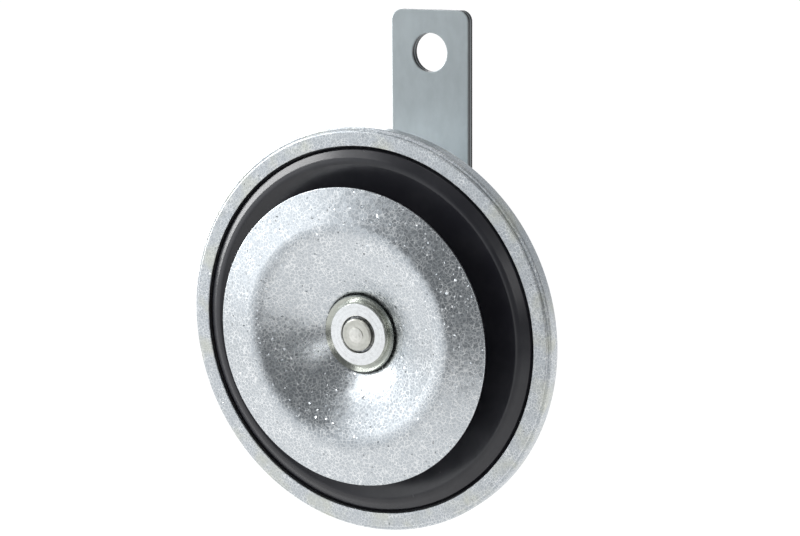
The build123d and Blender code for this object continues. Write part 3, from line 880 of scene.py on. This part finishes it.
class HORN_OT_bracket(bpy.types.Operator):
    """Cuts and rounds the two leaves of the bracket strip"""

    bl_idname = "horn.bracket"
    bl_label = "Bracket"

    def execute(self, context):
        for node in ("front_leaf", "rear_leaf"):
            leaf = self.blank(f"{node}_pressed", *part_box(node))
            middle = (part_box(node)[0].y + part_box(node)[1].y) / 2
            drill(leaf, (0, middle, AXIS_HEIGHT), 4.2 * MM, 4 * MM)
            drill(leaf, (0, middle, 0), 4.5 * MM, 4 * MM)
            apply_modifier(
                leaf, "BEVEL", width=sizes().strip_edge, segments=4, limit_method="ANGLE",
                angle_limit=math.radians(60),
            )
            finish_mesh(leaf, SMOOTH_ANGLE)
            dress(leaf, "horn_body", "bracket_steel", finish_for("bracket_steel"), node)
        return {"FINISHED"}

    def blank(self, name, low, high):
        """The flat blank: half round at its foot, with rounded corners at its top."""
        points = [
            Vector((low.x, low.y, low.z)),
            Vector((high.x, low.y, low.z)),
            Vector((high.x, low.y, high.z)),
            Vector((low.x, low.y, high.z)),
        ]
        foot = (high.x - low.x) / 2
        leaf = start_line(name, points)
        for index, (radius, segments) in enumerate(((foot, 24), (foot, 24), (2.6 * MM, 10), (2.6 * MM, 10))):
            round_corner(points[index], points[index - 1], points[(index + 1) % 4], radius, segments)
        bpy.ops.mesh.select_all(action="SELECT")
        bpy.ops.mesh.remove_doubles(threshold=MM / 500)
        bpy.ops.mesh.edge_face_add()
        bpy.ops.mesh.extrude_region_move(TRANSFORM_OT_translate={"value": (0, high.y - low.y, 0)})
        bpy.ops.mesh.select_all(action="SELECT")
        bpy.ops.mesh.normals_make_consistent(inside=False)
        bpy.ops.object.mode_set(mode="OBJECT")
        return leaf


class HORN_OT_threads(bpy.types.Operator):
    """Cuts the threads of the fixing stud and the adjusting screw"""

    bl_idname = "horn.threads"
    bl_label = "Threads"

    def execute(self, context):
        core_front = depth_of(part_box("core_stud")[0].y)
        floor = depth_of(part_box("coil_bobbin")[1].y)
        stud_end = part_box("core_stud")[1].y
        core_r = 8.4 * MM
        stud_r = 4.0 * MM
        shank = floor + 1.0 * MM
        core = turned(
            "core_stud_turned",
            [
                (0, core_front, 0),
                (core_r, core_front, 0.3 * MM),
                (core_r, floor, 0),
                (stud_r, floor, 0),
                (stud_r, shank, 0),
                (0, shank, 0),
            ],
            SMALL_TURN_STEPS,
        )
        thread_start = RING_FRONT + shank - 0.3 * MM
        rod = threaded_rod("stud_thread", AXIS_POINT, stud_r, 1.25 * MM, 0.7 * MM, thread_start, stud_end - 0.1 * MM)
        join(core, rod)
        dress(core, "horn_body", "plated_hub", finish_for("plated_hub"), "core_stud")

        low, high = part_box("adjusting_screw")
        screw_axis = (low + high) / 2
        radius = (high.x - low.x) / 2
        screw = threaded_rod(
            "adjusting_screw_cut", screw_axis, radius, 0.7 * MM, 0.35 * MM, low.y + 0.2 * MM, high.y
        )
        deselect()
        bpy.ops.mesh.primitive_cube_add(size=1, location=(screw_axis.x, high.y, screw_axis.z))
        blade = bpy.context.object
        blade.scale = (0.8 * MM, 2.4 * MM, 6 * MM)
        cut(screw, blade)
        finish_mesh(screw, SMOOTH_ANGLE)
        dress(screw, "horn_body", "plated_hub", finish_for("plated_hub"), "adjusting_screw")
        return {"FINISHED"}


class HORN_OT_cad_finishes(bpy.types.Operator):
    """Gives every node that keeps its own shape a procedural finish"""

    bl_idname = "horn.cad_finishes"
    bl_label = "Node Finishes"

    def execute(self, context):
        slots = {part["node"]: part["material_slot"] for part in frame["record"]["subparts"]}
        for node, shape in frame["nodes"].items():
            shape.data.materials.clear()
            shape.data.materials.append(finish_for(slots[node]))
        return {"FINISHED"}


# ------------------------------------------------------------------ stage
class HORN_OT_stage(bpy.types.Operator):
    """Sets the floor, the lamps and the camera"""

    bl_idname = "horn.stage"
    bl_label = "Stage"

    def execute(self, context):
        settings = context.scene.horn_stage
        self.lay_floor(settings)
        self.hang_lamps(settings)
        self.hold_lens_card()
        self.light_world()
        self.set_camera(settings)
        return {"FINISHED"}

    def lay_floor(self, settings):
        deselect()
        height = CAD_BOX[0][2] - settings.floor_drop
        depth = 2 * FLOOR_REACH
        bpy.ops.mesh.primitive_plane_add(size=1, location=(0, depth / 2 - FLOOR_FRONT, height))
        floor = bpy.context.object
        floor.name = "floor"
        floor.scale = (2 * FLOOR_REACH, depth, 1)
        bpy.ops.object.transform_apply(location=True, scale=True)
        paper = Finish("White paper", roughness=0.9)
        grain = paper.noise(0.02)
        paper.colour(paper.mix(grain, (0.86, 0.86, 0.86), (0.88, 0.88, 0.88)))
        path = paper.node("ShaderNodeLightPath")
        glow = paper.node("ShaderNodeEmission", None, {"Color": (1, 1, 1, 1), "Strength": 1.16})
        mixed = paper.node("ShaderNodeMixShader")
        mirrored = Signal(paper, path.outputs["Is Glossy Ray"]) * 0.67
        seen = Signal(paper, path.outputs["Is Camera Ray"]) * 0.85 + mirrored
        paper.feed(mixed.inputs[0], seen)
        paper.feed(mixed.inputs[1], paper.shader.outputs[0])
        paper.feed(mixed.inputs[2], glow.outputs[0])
        output = paper.tree.nodes["Material Output"]
        paper.feed(output.inputs["Surface"], mixed.outputs[0])
        floor.data.materials.append(paper.material)

    def hang_lamps(self, settings):
        target = Vector((0, RING_FRONT, AXIS_HEIGHT))
        for name, azimuth, elevation, distance, width, height, tilt, power in LAMPS:
            away = direction(math.radians(azimuth), math.radians(elevation))
            turn = away.to_track_quat("Z", "Y") @ Quaternion((0, 0, 1), math.radians(tilt))
            deselect()
            bpy.ops.object.light_add(type="AREA", location=target + away * distance)
            lamp = bpy.context.object
            lamp.name = name
            lamp.rotation_euler = turn.to_euler()
            lamp.data.shape = "DISK" if width == height else "RECTANGLE"
            lamp.data.size = width
            lamp.data.size_y = height
            lamp.data.energy = power * settings.lamp_level
            lamp.visible_camera = False

    def hold_lens_card(self):
        """A dark card in front of the small lamp's middle, as a lens would stand there."""
        name, azimuth, elevation, distance = LAMPS[-1][:4]
        away = direction(math.radians(azimuth), math.radians(elevation))
        place = Vector((0, RING_FRONT, AXIS_HEIGHT)) + away * (distance - 0.02)
        deselect()
        bpy.ops.mesh.primitive_circle_add(
            vertices=48, radius=0.052, fill_type="NGON", location=place,
            rotation=away.to_track_quat("Z", "Y").to_euler(),
        )
        card = bpy.context.object
        card.name = "lens_card"
        bpy.ops.object.transform_apply(location=True, rotation=True)
        card.visible_camera = False
        dark = Finish("Dark card", roughness=0.8)
        dark.colour(dark.mix(dark.noise(0.01), (0.01, 0.01, 0.01), (0.02, 0.02, 0.02)))
        card.data.materials.append(dark.material)

    def light_world(self):
        """A dim room, with white screens on the left and behind, and white where the camera looks."""
        world = bpy.data.worlds.new("studio")
        bpy.context.scene.world = world
        world.use_nodes = True
        world.node_tree.nodes.clear()
        room = Nodes(world.node_tree)
        way = room.node("ShaderNodeTexCoord").outputs["Generated"]
        parts = room.node("ShaderNodeSeparateXYZ", None, {"Vector": way})
        right = Signal(room, parts.outputs["X"])
        rear = Signal(room, parts.outputs["Y"])
        level = right.ramp(-0.52, -0.30, 0.85, 0.0) + rear.ramp(0.2, 0.9, 0.0, 0.35) + 0.18
        dim = room.node("ShaderNodeBackground", None, {"Color": (0.94, 0.97, 1.0, 1), "Strength": level})
        white = room.node("ShaderNodeBackground", None, {"Color": (1, 1, 1, 1), "Strength": 1.0})
        path = room.node("ShaderNodeLightPath")
        mixed = room.node("ShaderNodeMixShader")
        room.feed(mixed.inputs[0], path.outputs["Is Camera Ray"])
        room.feed(mixed.inputs[1], dim.outputs[0])
        room.feed(mixed.inputs[2], white.outputs[0])
        output = room.node("ShaderNodeOutputWorld")
        room.feed(output.inputs["Surface"], mixed.outputs[0])

    def set_camera(self, settings):
        azimuth = settings.azimuth
        back = direction(azimuth, settings.elevation)
        level = Vector((math.cos(azimuth), math.sin(azimuth), 0))
        upright = back.cross(level)
        right = level * math.cos(settings.roll) + upright * math.sin(settings.roll)
        up = upright * math.cos(settings.roll) - level * math.sin(settings.roll)
        lip_centre = Vector((0, RING_FRONT, AXIS_HEIGHT))
        place = lip_centre + back * settings.distance + right * settings.aim_right + up * settings.aim_up
        deselect()
        bpy.ops.object.camera_add(location=place)
        camera = bpy.context.object
        camera.name = "camera"
        turn = Matrix((right, up, back)).transposed()
        camera.rotation_euler = turn.to_euler()
        camera.data.lens = settings.lens
        camera.data.sensor_width = 36
        camera.data.clip_start = 0.01
        bpy.context.scene.camera = camera
        bpy.context.scene.view_settings.view_transform = "Standard"


# Each lamp: name, azimuth right of the axis and elevation in degrees, then distance, width and
# height in metres, tilt in degrees, and power in watts.
LAMPS = [
    ("main", -47, 3, 1.0, 0.54, 0.24, 42, 0.27),
    ("spot", -38, 38, 1.0, 0.16, 0.16, 0, 0.22),
    ("key", -79, 19, 1.0, 0.20, 1.05, -40, 6.6),
    ("right_top", 46, 35, 1.0, 0.50, 0.70, 0, 0.5),
    ("top", 0, 66, 1.0, 0.40, 0.40, 0, 0.8),
    ("rear_left", -150, 8, 1.0, 0.45, 0.46, 0, 2.0),
    ("small_front", 28, 10, 1.0, 0.25, 0.25, 0, 0.46),
]
FLOOR_REACH = 30.0
FLOOR_FRONT = 1.1


def direction(azimuth, elevation):
    """The unit vector to a place that many radians right of the horn's axis and above it."""
    return Vector(
        (
            math.sin(azimuth) * math.cos(elevation),
            -math.cos(azimuth) * math.cos(elevation),
            math.sin(elevation),
        )
    )


# ------------------------------------------------------------------ panel and registration
BUILD_ORDER = ["cad_finishes", "clamp_ring", "diaphragm", "tone_disc", "hub", "bracket", "threads", "stage"]


class HORN_PT_panel(bpy.types.Panel):
    """Lists the horn's sizes, colours and build steps"""

    bl_idname = "HORN_PT_panel"
    bl_label = "Disc Horn"
    bl_space_type = "VIEW_3D"
    bl_region_type = "UI"
    bl_category = "Disc Horn"

    def draw(self, context):
        layout = self.layout
        for step in BUILD_ORDER:
            layout.operator(f"horn.{step}")
        for group in (context.scene.horn_sizes, context.scene.horn_colours, context.scene.horn_stage):
            box = layout.box()
            for name in group.bl_rna.properties.keys():
                if name not in ("rna_type", "name"):
                    box.prop(group, name)


CLASSES = [
    HornSizes,
    HornColours,
    HornStage,
    HORN_OT_cad_finishes,
    HORN_OT_clamp_ring,
    HORN_OT_diaphragm,
    HORN_OT_tone_disc,
    HORN_OT_hub,
    HORN_OT_bracket,
    HORN_OT_threads,
    HORN_OT_stage,
    HORN_PT_panel,
]


def register():
    for item in CLASSES:
        bpy.utils.register_class(item)
    bpy.types.Scene.horn_sizes = PointerProperty(type=HornSizes)
    bpy.types.Scene.horn_colours = PointerProperty(type=HornColours)
    bpy.types.Scene.horn_stage = PointerProperty(type=HornStage)


def unregister():
    del bpy.types.Scene.horn_stage
    del bpy.types.Scene.horn_colours
    del bpy.types.Scene.horn_sizes
    for item in reversed(CLASSES):
        bpy.utils.unregister_class(item)


def main():
    register()
    for step in BUILD_ORDER:
        getattr(bpy.ops.horn, step)()


if __name__ == "__main__":
    main()
